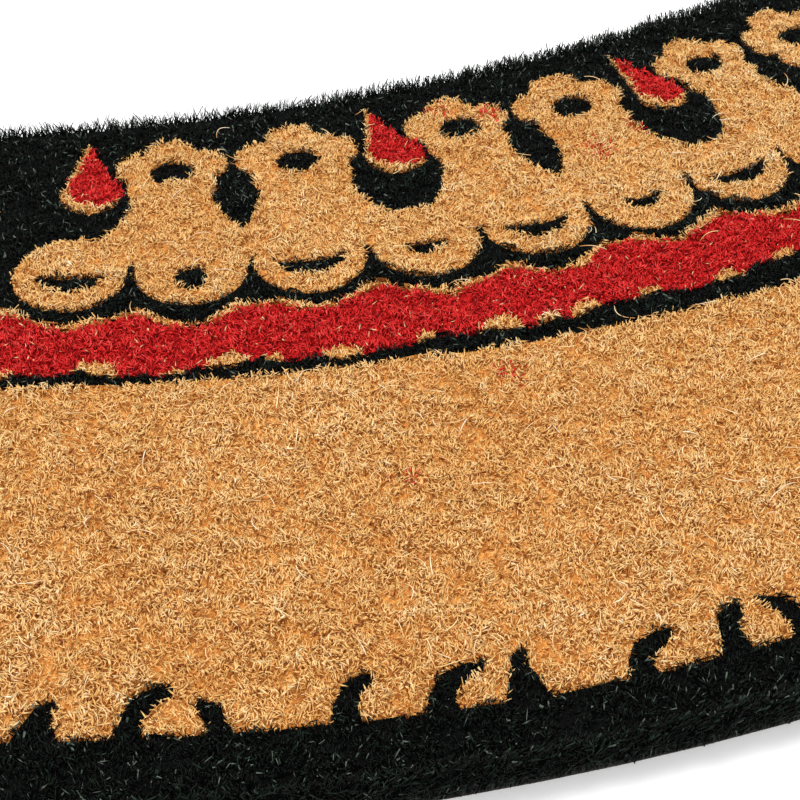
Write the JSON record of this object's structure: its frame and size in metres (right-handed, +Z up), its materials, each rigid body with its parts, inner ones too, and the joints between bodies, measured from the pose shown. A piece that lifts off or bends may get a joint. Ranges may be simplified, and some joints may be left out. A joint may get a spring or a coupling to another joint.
{
  "type": "door mat",
  "caption": "Curved coconut-fibre door mat with dyed pile bands, a garland of five-petalled blossoms and a wavy ribbon, on a flexible sheet backing that lies flat.",
  "frame": {"origin": "middle of the underside, on the floor, at the centre of the mat's bounding box", "axes": "+X along the mat's length, +Y towards the hollow far edge, +Z up out of the pile"},
  "size_m": [0.7508, 0.3479, 0.017],
  "materials": {
    "pvc_backing": "flexible sheet, matt, fine moulded grain",
    "coir_natural": "undyed coconut fibre pile, cut, golden tan",
    "coir_red": "coconut fibre pile dyed crimson",
    "coir_black": "coconut fibre pile dyed black"
  },
  "bodies": {
    "root": {"backing_sheet": "pvc_backing", "field_pile": "coir_natural", "garland_pile": "coir_natural", "ribbon_fringe_pile": "coir_natural", "ribbon_notch_piles": "coir_natural", "teardrop_rim_piles": "coir_natural", "ribbon_pile": "coir_red", "teardrop_piles": "coir_red", "ground_pile": "coir_black", "border_pile": "coir_black", "eyelet_piles": "coir_black", "crescent_piles": "coir_black"}
  },
  "joints": []
}
